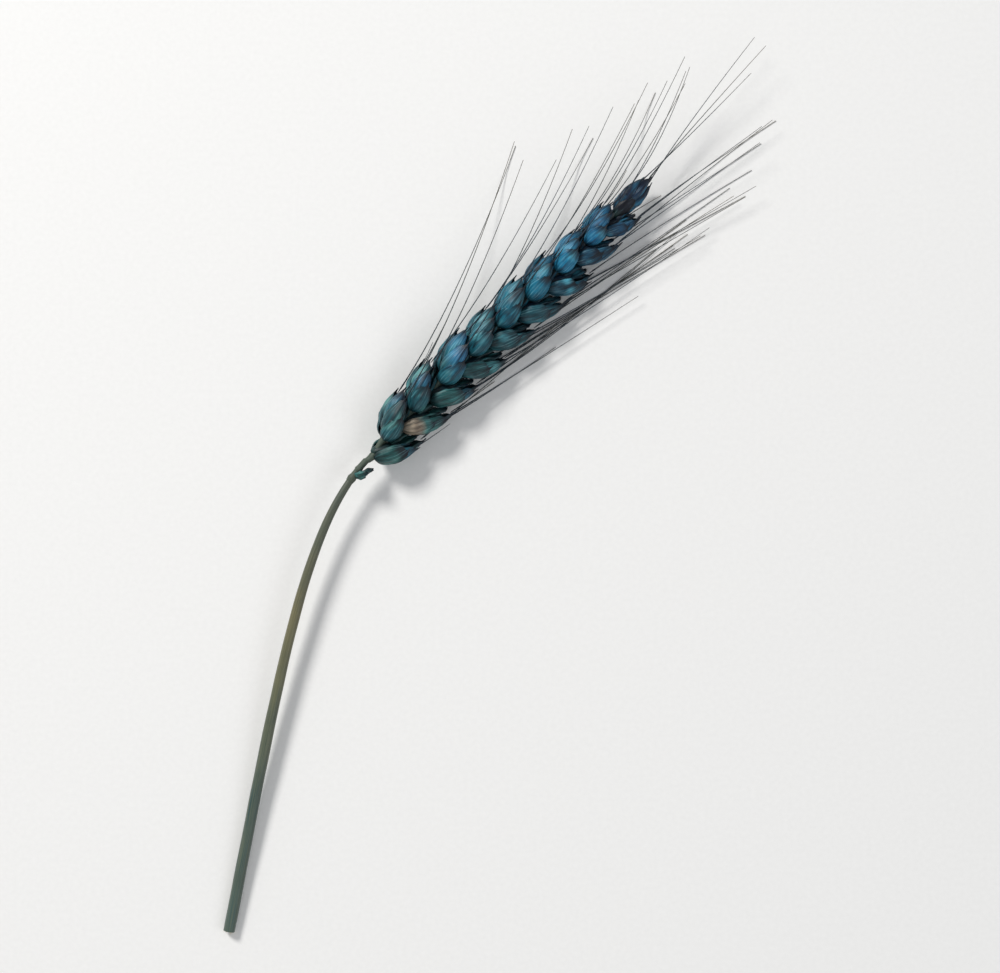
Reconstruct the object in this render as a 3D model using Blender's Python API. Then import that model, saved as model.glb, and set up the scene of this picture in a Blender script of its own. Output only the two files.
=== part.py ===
"""A dried, bearded wheat ear on its cut straw, lying on its side.

Two solids: the straw, which is hollow at its cut end, and the ear, whose husks and awns grow from one rachis.
The ear is rolled on its axis, so that its left row of spikelets looks up. It rests on its right row, on the
straw's cut end and on the awns under its left row.
"""

import math
import random
from collections import namedtuple

import bmesh
import bpy
from mathutils import Matrix, Vector

MM = 0.001
UP = Vector((0, 0, 1))
SEED = 11

# The straw and the rachis. Places along them are measured from the neck, where the ear's husks begin.
STRAW_LENGTH = 118 * MM
STRAW_RADIUS_CUT = 1.40 * MM
STRAW_RADIUS_NECK = 0.85 * MM
STRAW_THICKENS_OVER = 40 * MM
LUMEN_SHARE = 0.58
LUMEN_STOPS_AT = -14 * MM
COLLAR = -5.6 * MM
RACHIS_LENGTH = 83.5 * MM
RACHIS_RADIUS_COLLAR = 1.00 * MM
RACHIS_RADIUS_TIP = 0.60 * MM
RACHIS_ZIGZAG = 0.45 * MM
JOINT_GAP = 0.3 * MM

# How the plant lies: its course seen from above, and the height of its middle line over the floor
NECK = Vector((-0.0317, 0.0061, 0))
EAR_HEADING = math.radians(45)
EAR_SWAY = math.radians(2)
EAR_SWAY_WAVES = 0.85
EAR_ROLL = math.radians(30)
STRAW_TURN = math.radians(32)
STRAW_TURN_LENGTH = 20 * MM
EAR_HEIGHT_FOOT = 6.25 * MM
EAR_HEIGHT_TIP = 5.75 * MM
STRAW_HEIGHT_CUT = 1.26 * MM
STRAW_SLOPE_CUT = 0.035
FLOOR_GAP = 0.02 * MM
FLOOR_SOFTNESS = 0.35 * MM

# Spikelets, with their angles in degrees: the left row is side 1, the right one -1, the tip's own spikelet 0
NODE_PITCH = 4.75 * MM
FIRST_NODE = 1.8 * MM
LATERAL_SPIKELETS = 17
SPREAD = {1: 13, -1: 22}
SPREAD_CLOSES_BY = 11
SPREAD_VARIES = 2.5
TWIST_VARIES = 9
LEAN_VARIES = 3
SIZE_LEAST = 0.68
SIZE_SWELL = 0.22
SIZE_SWELLS_FROM = 0.22
SIZE_SWELLS_TO = 1.0
SIZE_VARIES = 0.04
HUSK_SIZE_VARIES = 0.05
TERMINAL_SIZE = 1.12
TERMINAL_SLIMNESS = 0.75
TERMINAL_CLOSED = 0.45
TERMINAL_DROP = 0.9 * MM
KEEL_SHARPNESS = 9

# The stalk inside each spikelet, which its husks grow from
CORE_LENGTH = 9.0 * MM
CORE_WIDTH = 5.3 * MM
CORE_FLATNESS = 0.6
CORE_LEAN = 0.18
CORE_SUNK = 1.2 * MM
TERMINAL_CORE_SUNK = 1.4 * MM

# Awns, with their angles in degrees. The awn of a husk whose back looks down more than AWN_UNDERSIDE comes down
# to the floor, and is pressed to it: unhindered, it would end lower by AWN_PRESSED.
AWN_RADIUS = 0.30 * MM
AWN_RADIUS_LOSS_UP_EAR = 0.25
AWN_TAPER = 0.62
AWN_LENGTH_FOOT = 66 * MM
AWN_LENGTH_TIP = 42 * MM
AWN_LENGTH_VARIES = (0.84, 1.06)
LOWEST_AWNS = 0.06
LOWEST_AWNS_SHARE = 0.7
AWN_SWING = {1: (16, 27), -1: (4, 15), 0: (-7, 9)}
AWN_LIFT = (-3, 4)
AWN_LIFT_FROM_BACK = 0.10
AWN_UNDERSIDE = math.radians(-17)
AWN_PRESSED = 1.5 * MM
AWN_STEEPEST = 0.35
AWN_ROOT = 0.86
AWN_KNEE = 0.35
AWN_LEAVES_FROM = 0.96
AWN_SNAPPED = 0.10
AWN_STUMP = 0.25
AWN_LOST = 0.07

# Facets
AXIS_STEP = 1 * MM
BROAD_TURNS = tuple(math.radians(a) for a in (-18, 38, 90, 142, 198, 270))
SLIM_TURNS = tuple(math.radians(a) for a in (0, 90, 180, 270))
CORE_SIDES = 5
CORE_RINGS = 3
AWN_SIDES = 3
AWN_PIECES = 4
STRAW_POINTS = 30
STRAW_ROUNDNESS = 3
RACHIS_ROUNDNESS = 1
WELD = 0.01 * MM

Kind = namedtuple("Kind", "length width depth inner keel bow fullest taper turns rings")
GLUME = Kind(9.9 * MM, 5.5 * MM, 1.50 * MM, 0.5 * MM, 0.35 * MM, 0.60 * MM, 0.50, 0.72, BROAD_TURNS, 5)
LEMMA = Kind(12.2 * MM, 5.0 * MM, 2.0 * MM, 0.9 * MM, 0.12 * MM, 0.80 * MM, 0.58, 1.02, BROAD_TURNS, 5)
UPPER = Kind(9.6 * MM, 4.2 * MM, 1.3 * MM, 0.9 * MM, 0.10 * MM, 0.40 * MM, 0.55, 0.80, SLIM_TURNS, 4)
SCALE = Kind(4.0 * MM, 1.7 * MM, 0.6 * MM, 0.35 * MM, 0.05 * MM, 0.25 * MM, 0.55, 0.80, SLIM_TURNS, 4)

# Where each husk stands in its spikelet: up it, away from the rachis and towards the front. Then the way that
# its back faces, as an angle from outwards to the front, and its lean that way.
Seat = namedtuple("Seat", "kind rise out front faces lean awned")
SPIKELET = (
    Seat(GLUME, 0.0 * MM, 0.35 * MM, 1.20 * MM, math.radians(74), math.radians(13), False),
    Seat(GLUME, 0.3 * MM, 0.35 * MM, -1.20 * MM, math.radians(-74), math.radians(13), False),
    Seat(LEMMA, 1.5 * MM, 0.95 * MM, 0.95 * MM, math.radians(56), math.radians(12), True),
    Seat(LEMMA, 2.1 * MM, 0.95 * MM, -0.95 * MM, math.radians(-56), math.radians(12), True),
    Seat(LEMMA, 3.5 * MM, 1.30 * MM, 0.25 * MM, math.radians(8), math.radians(5), True),
    Seat(UPPER, 4.4 * MM, -0.15 * MM, -0.20 * MM, math.radians(-158), math.radians(2), False),
)

# The stunted scales on the right of the collar: angle from the rachis and turn round it in degrees, and size
TUFT = ((44, -35, 1.15), (27, 5, 1.40), (62, 40, 1.0))
TUFT_ABOVE_COLLAR = 1.1 * MM
TUFT_SUNK = 0.2 * MM

Spikelet = namedtuple("Spikelet", "foot up out front size side share")
Husk = namedtuple("Husk", "kind size slim foot along back across")
Awn = namedtuple("Awn", "foot leaves bends length radius")


def heading(s):
    """The course at s metres up from the neck, in radians from +X. The straw is at negative s."""
    if s < 0:
        return EAR_HEADING + EAR_SWAY + STRAW_TURN * (1 - math.exp(s / STRAW_TURN_LENGTH))
    return EAR_HEADING + EAR_SWAY * math.cos(math.tau * EAR_SWAY_WAVES * s / RACHIS_LENGTH)


def height(s):
    """Height of the middle line over the floor: a straight ear, and a straw that comes down to its end."""
    fall = (EAR_HEIGHT_TIP - EAR_HEIGHT_FOOT) / RACHIS_LENGTH
    if s >= 0:
        return EAR_HEIGHT_FOOT + fall * s
    q = 1 + s / STRAW_LENGTH
    return (
        STRAW_HEIGHT_CUT * (1 + 2 * q) * (1 - q) ** 2
        + STRAW_SLOPE_CUT * STRAW_LENGTH * q * (1 - q) ** 2
        + EAR_HEIGHT_FOOT * q * q * (3 - 2 * q)
        + fall * STRAW_LENGTH * q * q * (q - 1)
    )


def middle_line():
    """Points along the plant's middle line by their distance from the neck, a step apart."""
    line = {0: NECK.copy()}
    for way, length in ((1, RACHIS_LENGTH), (-1, STRAW_LENGTH)):
        point = NECK.copy()
        for k in range(round(length / AXIS_STEP) + 2):
            turn = heading((k + 0.5) * way * AXIS_STEP)
            point = point + way * AXIS_STEP * Vector((math.cos(turn), math.sin(turn), 0))
            line[way * (k + 1)] = point
    return line


LINE = middle_line()


def axis_point(s):
    k = math.floor(s / AXIS_STEP)
    point = LINE[k].lerp(LINE[k + 1], s / AXIS_STEP - k)
    return Vector((point.x, point.y, height(s)))


def axis_frame(s):
    """Point, the way up the ear, the way to its left and the way to its front."""
    along = (axis_point(s + AXIS_STEP / 2) - axis_point(s - AXIS_STEP / 2)).normalized()
    left = UP.cross(along).normalized()
    return axis_point(s), along, left, along.cross(left)


def rolled_frame(s):
    """The ear's own frame: it is rolled on its axis, so that its left row turns its face up."""
    point, along, left, front = axis_frame(s)
    roll = Matrix.Rotation(EAR_ROLL, 3, along)
    return point, along, roll @ left, roll @ front


def rachis_place(s):
    """Point and radius of the rachis, which bends at each spikelet, at s metres up from the neck."""
    point, along, left, front = rolled_frame(s)
    sway = RACHIS_ZIGZAG * math.cos(math.pi * (s - FIRST_NODE) / NODE_PITCH) if s > 0 else 0
    share = (s - COLLAR) / (RACHIS_LENGTH - COLLAR)
    return point - sway * left, RACHIS_RADIUS_COLLAR + (RACHIS_RADIUS_TIP - RACHIS_RADIUS_COLLAR) * share


def spikelet_size(share):
    """Size of a spikelet at a share of the rachis: fullest below the middle, small at the tip."""
    swell = SIZE_SWELLS_FROM + (SIZE_SWELLS_TO - SIZE_SWELLS_FROM) * share
    return SIZE_LEAST + SIZE_SWELL * math.sin(math.pi * swell)


def lateral_spikelet(n, draw):
    s = FIRST_NODE + n * NODE_PITCH
    share = s / RACHIS_LENGTH
    side = 1 if n % 2 else -1
    point, along, left, front = rolled_frame(s)
    spread = SPREAD[side] - SPREAD_CLOSES_BY * share * share + draw.uniform(-SPREAD_VARIES, SPREAD_VARIES)
    spread = math.radians(spread)
    twist = math.radians(draw.uniform(-TWIST_VARIES, TWIST_VARIES))
    out = Matrix.Rotation(twist, 3, along) @ (side * left)
    up = math.cos(spread) * along + math.sin(spread) * out
    out = (out - out.dot(up) * up).normalized()
    size = spikelet_size(share) * draw.uniform(1 - SIZE_VARIES, 1 + SIZE_VARIES)
    foot = point + RACHIS_ZIGZAG * side * left
    return Spikelet(foot, up, out, up.cross(out) * side, size, side, share)


def terminal_spikelet():
    """The spikelet that ends the rachis, a quarter turn round from the others."""
    point, along, left, front = rolled_frame(RACHIS_LENGTH)
    size = TERMINAL_SIZE * spikelet_size(1)
    return Spikelet(point - TERMINAL_DROP * front, along, front, left, size, 0, 1.0)


def husk_in(seat, spikelet, draw):
    closed = 1 if spikelet.side else TERMINAL_CLOSED
    faces = math.cos(seat.faces) * spikelet.out + math.sin(seat.faces) * spikelet.front
    lean = closed * seat.lean + math.radians(draw.uniform(-LEAN_VARIES, LEAN_VARIES))
    along = math.cos(lean) * spikelet.up + math.sin(lean) * faces
    back = math.cos(lean) * faces - math.sin(lean) * spikelet.up
    place = seat.rise * spikelet.up + closed * (seat.out * spikelet.out + seat.front * spikelet.front)
    size = spikelet.size * draw.uniform(1 - HUSK_SIZE_VARIES, 1 + HUSK_SIZE_VARIES)
    slim = 1 if spikelet.side else TERMINAL_SLIMNESS
    return Husk(seat.kind, size, slim, spikelet.foot + spikelet.size * place, along, back, back.cross(along))


def husk_middle(husk, t):
    """Point on a husk's middle line, which bows out towards its back."""
    kind = husk.kind
    return husk.foot + husk.size * (kind.length * t * husk.along + 4 * kind.bow * t * (1 - t) * husk.back)


def fullness(kind, t):
    """Share of a husk's full width at share t of its length."""
    peak = kind.fullest / (kind.fullest + kind.taper)
    top = peak**kind.fullest * (1 - peak) ** kind.taper
    return t**kind.fullest * (1 - t) ** kind.taper / top


def husk_point(husk, t, turn):
    """Point on a husk's surface, with turn round its middle line: a quarter turn is the keel on its back."""
    kind = husk.kind
    full = fullness(kind, t)
    across = 0.5 * kind.width * husk.slim * full * math.cos(turn)
    rise = math.sin(turn)
    keel = kind.keel * full * max(rise, 0) ** KEEL_SHARPNESS
    back = (kind.depth if rise > 0 else kind.inner) * full * rise + keel
    return husk_middle(husk, t) + husk.size * (across * husk.across + back * husk.back)


def awn_on(husk, spikelet, draw):
    """The awn of a husk's tip, or None where it has been lost."""
    side, share = spikelet.side, spikelet.share
    point, along, left, front = axis_frame(share * RACHIS_LENGTH)
    leaves = (husk_middle(husk, 1) - husk_middle(husk, AWN_LEAVES_FROM)).normalized()
    swing = math.radians(draw.uniform(*AWN_SWING[side]) * (side or 1))
    raised = math.asin(max(-1, min(1, husk.back.dot(front))))
    lift = AWN_LIFT_FROM_BACK * raised + math.radians(draw.uniform(*AWN_LIFT))
    length = AWN_LENGTH_FOOT + (AWN_LENGTH_TIP - AWN_LENGTH_FOOT) * share
    length *= draw.uniform(*AWN_LENGTH_VARIES)
    if share < LOWEST_AWNS:
        length *= LOWEST_AWNS_SHARE
    fate = draw.random()
    if fate < AWN_SNAPPED:
        length *= AWN_STUMP
    if fate > 1 - AWN_LOST:
        return None
    foot = husk_middle(husk, AWN_ROOT)
    if raised < AWN_UNDERSIDE:
        drop = foot.z + AWN_KNEE * length * leaves.z + AWN_PRESSED
        lift = -math.asin(max(0, min(AWN_STEEPEST, drop / (length - AWN_KNEE * length))))
    bends = math.cos(lift) * (math.cos(swing) * along + math.sin(swing) * left) + math.sin(lift) * front
    radius = AWN_RADIUS * (1 - AWN_RADIUS_LOSS_UP_EAR * share)
    return Awn(foot, leaves, bends, length, radius)


def awn_radius(awn, t):
    return awn.radius * (1 - AWN_TAPER * t)


def awn_point(awn, t):
    """Point on an awn at share t of its length. Where it would reach the floor it bends to lie along it."""
    knee = AWN_KNEE * awn.length
    end = knee * awn.leaves + (awn.length - knee) * awn.bends
    point = awn.foot + 2 * t * (1 - t) * knee * awn.leaves + t * t * end
    least = FLOOR_GAP + awn_radius(awn, t)
    over = (point.z - least) / FLOOR_SOFTNESS
    point.z = least + FLOOR_SOFTNESS * (max(over, 0) + math.log1p(math.exp(-abs(over))))
    return point


def grow_ear():
    """The spikelets, husks and awns of the whole ear, the same on every run."""
    draw = random.Random(SEED)
    spikelets = [lateral_spikelet(n, draw) for n in range(LATERAL_SPIKELETS)]
    spikelets.append(terminal_spikelet())
    husks, awns = [], []
    for spikelet in spikelets:
        for seat in SPIKELET:
            husks.append(husk_in(seat, spikelet, draw))
            awn = awn_on(husks[-1], spikelet, draw) if seat.awned else None
            if awn:
                awns.append(awn)
    return spikelets, husks, awns


def tuft_scales():
    point, along, left, front = axis_frame(COLLAR + TUFT_ABOVE_COLLAR)
    for spread, turn, size in TUFT:
        out = Matrix.Rotation(math.radians(turn), 3, along) @ -left
        up = math.cos(math.radians(spread)) * along + math.sin(math.radians(spread)) * out
        back = (along.dot(up) * up - along).normalized()
        yield Husk(SCALE, size, 1, point - TUFT_SUNK * out, up, back, back.cross(up))


def clear_scene():
    for obj in list(bpy.data.objects):
        bpy.data.objects.remove(obj, do_unlink=True)


def new_collection(name):
    made = bpy.data.collections.new(name)
    bpy.context.scene.collection.children.link(made)
    return made


def new_object(name, bm, collection):
    mesh = bpy.data.meshes.new(name)
    bm.to_mesh(mesh)
    bm.free()
    obj = bpy.data.objects.new(name, mesh)
    collection.objects.link(obj)
    return obj


def new_material(name, colour, roughness):
    made = bpy.data.materials.new(name)
    made.use_nodes = True
    shader = made.node_tree.nodes["Principled BSDF"]
    shader.inputs["Base Color"].default_value = (*colour, 1)
    shader.inputs["Roughness"].default_value = roughness
    shader.inputs["Metallic"].default_value = 0
    return made


def make_husk(husk, collection):
    """A ball drawn out into a boat-shaped husk: its poles are the foot and the tip."""
    bm = bmesh.new()
    turns = husk.kind.turns
    bmesh.ops.create_uvsphere(bm, u_segments=len(turns), v_segments=husk.kind.rings, radius=1)
    for vert in bm.verts:
        t = 1 - math.acos(max(-1, min(1, vert.co.z))) / math.pi
        meridian = round(math.atan2(vert.co.y, vert.co.x) / math.tau * len(turns)) % len(turns)
        vert.co = husk_point(husk, t, turns[meridian])
    return new_object("husk", bm, collection)


def make_core(spikelet, collection):
    """The short stalk that a spikelet's husks grow from: a ball drawn out from inside the rachis."""
    up, out, size = spikelet.up, spikelet.out, spikelet.size
    start = spikelet.foot - CORE_SUNK * out
    if spikelet.side == 0:
        start = spikelet.foot + TERMINAL_DROP * out - TERMINAL_CORE_SUNK * up
    bm = bmesh.new()
    bmesh.ops.create_uvsphere(bm, u_segments=CORE_SIDES, v_segments=CORE_RINGS, radius=0.5)
    for vert in bm.verts:
        across = CORE_WIDTH * (CORE_FLATNESS * vert.co.x * out + vert.co.y * up.cross(out))
        rise = CORE_LENGTH * (vert.co.z + 0.5) * (up + CORE_LEAN * out)
        vert.co = start + size * (across + rise)
    return new_object("core", bm, collection)


def make_awn(awn, collection):
    """A three-sided cone cut into lengths and bent along the awn."""
    bm = bmesh.new()
    bmesh.ops.create_cone(bm, cap_ends=True, segments=AWN_SIDES, radius1=1, radius2=1, depth=1)
    bmesh.ops.translate(bm, verts=bm.verts, vec=(0, 0, 0.5))
    for k in range(1, AWN_PIECES):
        everything = bm.verts[:] + bm.edges[:] + bm.faces[:]
        bmesh.ops.bisect_plane(bm, geom=everything, plane_co=(0, 0, k / AWN_PIECES), plane_no=(0, 0, 1))
    for vert in bm.verts:
        t = vert.co.z
        along = (awn_point(awn, t + 0.01) - awn_point(awn, t - 0.01)).normalized()
        aside = along.cross(UP).normalized()
        above = aside.cross(along)
        vert.co = awn_point(awn, t) + awn_radius(awn, t) * (vert.co.x * aside - vert.co.y * above)
    return new_object("awn", bm, collection)


def round_stem(name, places, roundness, collection):
    """A closed mesh tube through (point, radius) places."""
    curve = bpy.data.curves.new(name, "CURVE")
    curve.dimensions = "3D"
    curve.bevel_depth = 1
    curve.bevel_resolution = roundness
    curve.use_fill_caps = True
    spline = curve.splines.new("POLY")
    spline.points.add(len(places) - 1)
    for point, (place, radius) in zip(spline.points, places):
        point.co = (*place, 1)
        point.radius = radius
    guide = bpy.data.objects.new(name, curve)
    collection.objects.link(guide)
    bpy.context.view_layer.update()
    mesh = bpy.data.meshes.new_from_object(guide.evaluated_get(bpy.context.evaluated_depsgraph_get()))
    bpy.data.objects.remove(guide, do_unlink=True)
    bm = bmesh.new()
    bm.from_mesh(mesh)
    bmesh.ops.remove_doubles(bm, verts=bm.verts, dist=WELD)
    bmesh.ops.recalc_face_normals(bm, faces=bm.faces)
    return new_object(name, bm, collection)


def apply_modifiers(obj):
    bpy.context.view_layer.update()
    mesh = bpy.data.meshes.new_from_object(obj.evaluated_get(bpy.context.evaluated_depsgraph_get()))
    obj.modifiers.clear()
    obj.data = mesh


def join_all(obj, collection):
    """Joins a collection's closed pieces to obj, and removes them."""
    modifier = obj.modifiers.new("join", "BOOLEAN")
    modifier.operation = "UNION"
    modifier.solver = "MANIFOLD"
    modifier.operand_type = "COLLECTION"
    modifier.collection = collection
    apply_modifiers(obj)
    for piece in list(collection.objects):
        bpy.data.objects.remove(piece, do_unlink=True)


def cut_away(obj, cutter):
    modifier = obj.modifiers.new("cut", "BOOLEAN")
    modifier.operation = "DIFFERENCE"
    modifier.solver = "EXACT"
    modifier.object = cutter
    apply_modifiers(obj)
    bpy.data.objects.remove(cutter, do_unlink=True)


def keep_outer_shell(obj):
    """Fills the hollows that joining has sealed, and drops loose scraps: only the largest shell stays."""
    bm = bmesh.new()
    bm.from_mesh(obj.data)
    shells, seen = [], set()
    for start in bm.verts:
        if start in seen:
            continue
        seen.add(start)
        shell, waiting = [], [start]
        while waiting:
            vert = waiting.pop()
            shell.append(vert)
            fresh = [edge.other_vert(vert) for edge in vert.link_edges]
            fresh = [other for other in fresh if other not in seen]
            seen.update(fresh)
            waiting.extend(fresh)
        shells.append(shell)
    shells.sort(key=len)
    for shell in shells[:-1]:
        bmesh.ops.delete(bm, geom=shell, context="VERTS")
    bm.to_mesh(obj.data)
    bm.free()


def cut_at_floor(obj):
    """Flat spots where the part rests: what lies under the floor is cut off and closed."""
    bm = bmesh.new()
    bm.from_mesh(obj.data)
    everything = bm.verts[:] + bm.edges[:] + bm.faces[:]
    bmesh.ops.bisect_plane(bm, geom=everything, plane_co=(0, 0, 0), plane_no=(0, 0, -1), clear_outer=True)
    rims = [edge for edge in bm.edges if edge.is_boundary]
    bmesh.ops.holes_fill(bm, edges=rims)
    bmesh.ops.triangulate(bm, faces=bm.faces)
    bm.to_mesh(obj.data)
    bm.free()


def build_ear(parts, pieces):
    spikelets, husks, awns = grow_ear()
    nodes = [FIRST_NODE + n * NODE_PITCH for n in range(LATERAL_SPIKELETS)]
    bends = [COLLAR, COLLAR / 2, *nodes, RACHIS_LENGTH]
    ear = round_stem("ear", [rachis_place(s) for s in bends], RACHIS_ROUNDNESS, parts)
    for spikelet in spikelets:
        make_core(spikelet, pieces)
    for husk in [*husks, *tuft_scales()]:
        make_husk(husk, pieces)
    for awn in awns:
        make_awn(awn, pieces)
    join_all(ear, pieces)
    keep_outer_shell(ear)
    cut_at_floor(ear)
    return ear


def build_straw(parts, pieces):
    """A tube that narrows towards the ear. Its bore is open at the cut end and stops short of the neck."""
    top = COLLAR - JOINT_GAP
    places, bore = [], []
    for k in range(STRAW_POINTS):
        s = -STRAW_LENGTH + (STRAW_LENGTH + top) * k / (STRAW_POINTS - 1)
        narrowing = math.exp((s - top) / STRAW_THICKENS_OVER)
        radius = STRAW_RADIUS_CUT + (STRAW_RADIUS_NECK - STRAW_RADIUS_CUT) * narrowing
        places.append((axis_point(s), radius))
        if s < LUMEN_STOPS_AT:
            bore.append((axis_point(s), LUMEN_SHARE * radius))
    straw = round_stem("straw", places, STRAW_ROUNDNESS, parts)
    mouth, mouth_radius = bore[0]
    outside = mouth + (mouth - bore[1][0]) / 2
    lumen = round_stem("lumen", [(outside, mouth_radius), *bore], STRAW_ROUNDNESS, pieces)
    cut_away(straw, lumen)
    cut_at_floor(straw)
    return straw


def main():
    clear_scene()
    parts = new_collection("wheat_ear")
    pieces = new_collection("pieces")
    ear = build_ear(parts, pieces)
    straw = build_straw(parts, pieces)
    bpy.data.collections.remove(pieces)
    finishes = (
        (ear, "dyed_husk", (0.013, 0.090, 0.145), 0.62),
        (straw, "dyed_straw", (0.09, 0.105, 0.08), 0.50),
    )
    for obj, name, colour, roughness in finishes:
        obj.data.materials.clear()
        obj.data.materials.append(new_material(name, colour, roughness))


main()
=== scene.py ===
"""Finished look of the dried, dyed wheat ear on its cut straw, lying on its side and seen from above."""

import math
import random
from collections import namedtuple

import bmesh
import bpy
from mathutils import Matrix, Vector, noise
from mathutils.bvhtree import BVHTree


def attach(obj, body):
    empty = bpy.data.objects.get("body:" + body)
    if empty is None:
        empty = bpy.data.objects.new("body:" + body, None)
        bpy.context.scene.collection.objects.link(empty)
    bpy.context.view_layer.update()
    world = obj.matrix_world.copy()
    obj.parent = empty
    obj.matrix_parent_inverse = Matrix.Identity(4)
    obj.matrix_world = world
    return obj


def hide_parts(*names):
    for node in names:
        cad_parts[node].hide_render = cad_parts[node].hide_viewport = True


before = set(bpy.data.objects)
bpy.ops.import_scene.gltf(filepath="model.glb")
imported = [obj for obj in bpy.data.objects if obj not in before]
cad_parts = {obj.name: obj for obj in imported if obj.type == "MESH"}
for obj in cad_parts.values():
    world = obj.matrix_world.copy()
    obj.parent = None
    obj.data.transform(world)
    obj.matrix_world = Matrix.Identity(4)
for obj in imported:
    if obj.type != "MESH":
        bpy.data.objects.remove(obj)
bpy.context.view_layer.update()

MM = 0.001
UP = Vector((0, 0, 1))
SEED = 11

# The plant's plan in the source of the part: straw and rachis
STRAW_LENGTH = 118 * MM
STRAW_RADIUS_CUT = 1.40 * MM
STRAW_RADIUS_NECK = 0.85 * MM
STRAW_THICKENS_OVER = 40 * MM
LUMEN_SHARE = 0.58
LUMEN_STOPS_AT = -14 * MM
COLLAR = -5.6 * MM
RACHIS_LENGTH = 83.5 * MM
RACHIS_RADIUS_COLLAR = 1.00 * MM
RACHIS_RADIUS_TIP = 0.60 * MM
RACHIS_ZIGZAG = 0.45 * MM
JOINT_GAP = 0.3 * MM
STRAW_TOP = COLLAR - JOINT_GAP
NECK = Vector((-0.0317, 0.0061, 0))
EAR_HEADING = math.radians(45)
EAR_SWAY = math.radians(2)
EAR_SWAY_WAVES = 0.85
EAR_ROLL = math.radians(30)
STRAW_TURN = math.radians(32)
STRAW_TURN_LENGTH = 20 * MM
EAR_HEIGHT_FOOT = 6.25 * MM
EAR_HEIGHT_TIP = 5.75 * MM
STRAW_HEIGHT_CUT = 1.26 * MM
STRAW_SLOPE_CUT = 0.035
FLOOR_GAP = 0.03 * MM
FLOOR_SOFTNESS = 0.35 * MM
AXIS_STEP = 1 * MM

# Spikelets, with their angles in degrees: the left row is side 1, the right one -1, the tip's own spikelet 0
NODE_PITCH = 4.75 * MM
FIRST_NODE = 1.8 * MM
LATERAL_SPIKELETS = 17
SPREAD = {1: 13, -1: 22}
SPREAD_CLOSES_BY = 11
SPREAD_VARIES = 2.5
TWIST_VARIES = 9
LEAN_VARIES = 3
SIZE_LEAST = 0.68
SIZE_SWELL = 0.22
SIZE_SWELLS_FROM = 0.22
SIZE_SWELLS_TO = 1.0
SIZE_VARIES = 0.04
HUSK_SIZE_VARIES = 0.05
TERMINAL_SIZE = 1.12
TERMINAL_SLIMNESS = 0.75
TERMINAL_CLOSED = 0.45
TERMINAL_DROP = 0.9 * MM
KEEL_SHARPNESS = 9

# The stalk inside each spikelet, which its husks grow from
CORE_LENGTH = 9.0 * MM
CORE_WIDTH = 5.3 * MM
CORE_FLATNESS = 0.6
CORE_LEAN = 0.18
CORE_SUNK = 1.2 * MM
TERMINAL_CORE_SUNK = 1.4 * MM
CORE_ROUNDED = 0.88
CORE_SIDES = 20
CORE_RINGS = 12

# Awns, with their angles in degrees
AWN_LENGTH_FOOT = 66 * MM
AWN_LENGTH_TIP = 42 * MM
AWN_LENGTH_VARIES = (0.84, 1.06)
LOWEST_AWNS = 0.06
LOWEST_AWNS_SHARE = 0.7
AWN_SWING = {1: (16, 27), -1: (4, 15), 0: (-7, 9)}
AWN_LIFT = (-3, 4)
AWN_LIFT_FROM_BACK = 0.10
AWN_UNDERSIDE = math.radians(-17)
AWN_PRESSED = 1.5 * MM
AWN_STEEPEST = 0.35
AWN_ROOT = 0.86
AWN_KNEE = 0.35
AWN_LEAVES_FROM = 0.96
AWN_SNAPPED = 0.10
AWN_STUMP = 0.25
AWN_LOST = 0.07

Kind = namedtuple("Kind", "length width depth inner keel bow fullest taper")
GLUME = Kind(9.9 * MM, 5.5 * MM, 1.50 * MM, 0.5 * MM, 0.35 * MM, 0.60 * MM, 0.50, 0.72)
LEMMA = Kind(12.2 * MM, 5.0 * MM, 2.0 * MM, 0.9 * MM, 0.12 * MM, 0.80 * MM, 0.58, 1.02)
UPPER = Kind(9.6 * MM, 4.2 * MM, 1.3 * MM, 0.9 * MM, 0.10 * MM, 0.40 * MM, 0.55, 0.80)
SCALE = Kind(4.0 * MM, 1.7 * MM, 0.6 * MM, 0.35 * MM, 0.05 * MM, 0.25 * MM, 0.55, 0.80)
PALEA = Kind(9.6 * MM, 3.6 * MM, 1.0 * MM, 0.4 * MM, 0.0, 0.55 * MM, 0.55, 0.75)

Seat = namedtuple("Seat", "kind rise out front faces lean awned")
SPIKELET = (
    Seat(GLUME, 0.0 * MM, 0.35 * MM, 1.20 * MM, math.radians(74), math.radians(13), False),
    Seat(GLUME, 0.3 * MM, 0.35 * MM, -1.20 * MM, math.radians(-74), math.radians(13), False),
    Seat(LEMMA, 1.5 * MM, 0.95 * MM, 0.95 * MM, math.radians(56), math.radians(12), True),
    Seat(LEMMA, 2.1 * MM, 0.95 * MM, -0.95 * MM, math.radians(-56), math.radians(12), True),
    Seat(LEMMA, 3.5 * MM, 1.30 * MM, 0.25 * MM, math.radians(8), math.radians(5), True),
    Seat(UPPER, 4.4 * MM, -0.15 * MM, -0.20 * MM, math.radians(-158), math.radians(2), False),
)
TUFT = ((44, -35, 1.15), (27, 5, 1.40), (62, 40, 1.0))
TUFT_ABOVE_COLLAR = 1.1 * MM
TUFT_SUNK = 0.2 * MM

Spikelet = namedtuple("Spikelet", "foot up out front size side share")
Husk = namedtuple("Husk", "kind size slim foot along back across")
Awn = namedtuple("Awn", "foot leaves bends length share")
Wear = namedtuple("Wear", "phase lopside tint undyed bright")
GLUMES = 2

# Points closer than this become one, and edges sharper than these degrees stay sharp
SAME_POINT = 0.0001 * MM
SHARP = 50

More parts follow.
